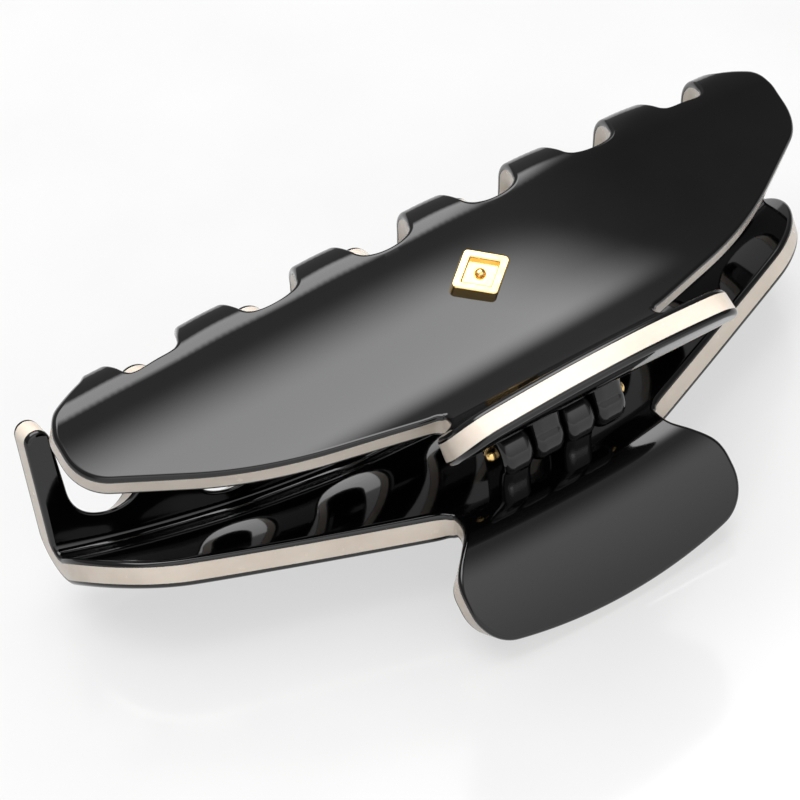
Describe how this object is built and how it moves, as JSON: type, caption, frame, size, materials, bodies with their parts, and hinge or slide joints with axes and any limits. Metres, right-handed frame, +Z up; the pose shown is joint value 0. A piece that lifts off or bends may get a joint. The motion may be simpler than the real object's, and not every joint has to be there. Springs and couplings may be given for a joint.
{
  "type": "hair claw clip",
  "caption": "Long curved hair claw clip of layered acetate sheet with interleaving teeth, two finger handles, a sprung hinge and a small metal badge.",
  "frame": {"origin": "centre of the bounding box's bottom, where the closed clip lies on a table on its lower handle and lower crest", "axes": "+X along the hinge pin and the clip's length, +Y from the handles towards the teeth, +Z up from the table"},
  "size_m": [0.1084, 0.0486, 0.039],
  "materials": {
    "black_acetate": "polished black cellulose acetate",
    "ivory_acetate": "polished ivory cellulose acetate, seen as a band in the sheet's edges",
    "gold": "polished gold plated",
    "spring_steel": "drawn spring wire"
  },
  "bodies": {
    "lower_jaw": {"lower_jaw_outer_skin": "black_acetate", "lower_jaw_core": "ivory_acetate", "lower_jaw_inner_skin": "black_acetate", "knuckle_lower_left": "black_acetate", "knuckle_lower_right": "black_acetate", "hinge_pin": "gold", "pin_cap": "gold", "torsion_spring": "spring_steel"},
    "upper_jaw": {"upper_jaw_outer_skin": "black_acetate", "upper_jaw_core": "ivory_acetate", "upper_jaw_inner_skin": "black_acetate", "knuckle_upper_left": "black_acetate", "knuckle_upper_right": "black_acetate", "badge": "gold"}
  },
  "joints": [
    {"name": "jaw_hinge", "type": "hinge", "parent": "lower_jaw", "child": "upper_jaw", "pos_m": [0, -0.0098, 0.01921], "axis": [1, 0, 0], "range_deg": [0, 98], "stiffness_Nm_per_rad": 0.08, "springref_deg": -68.75, "deforming": ["torsion_spring"]}
  ]
}
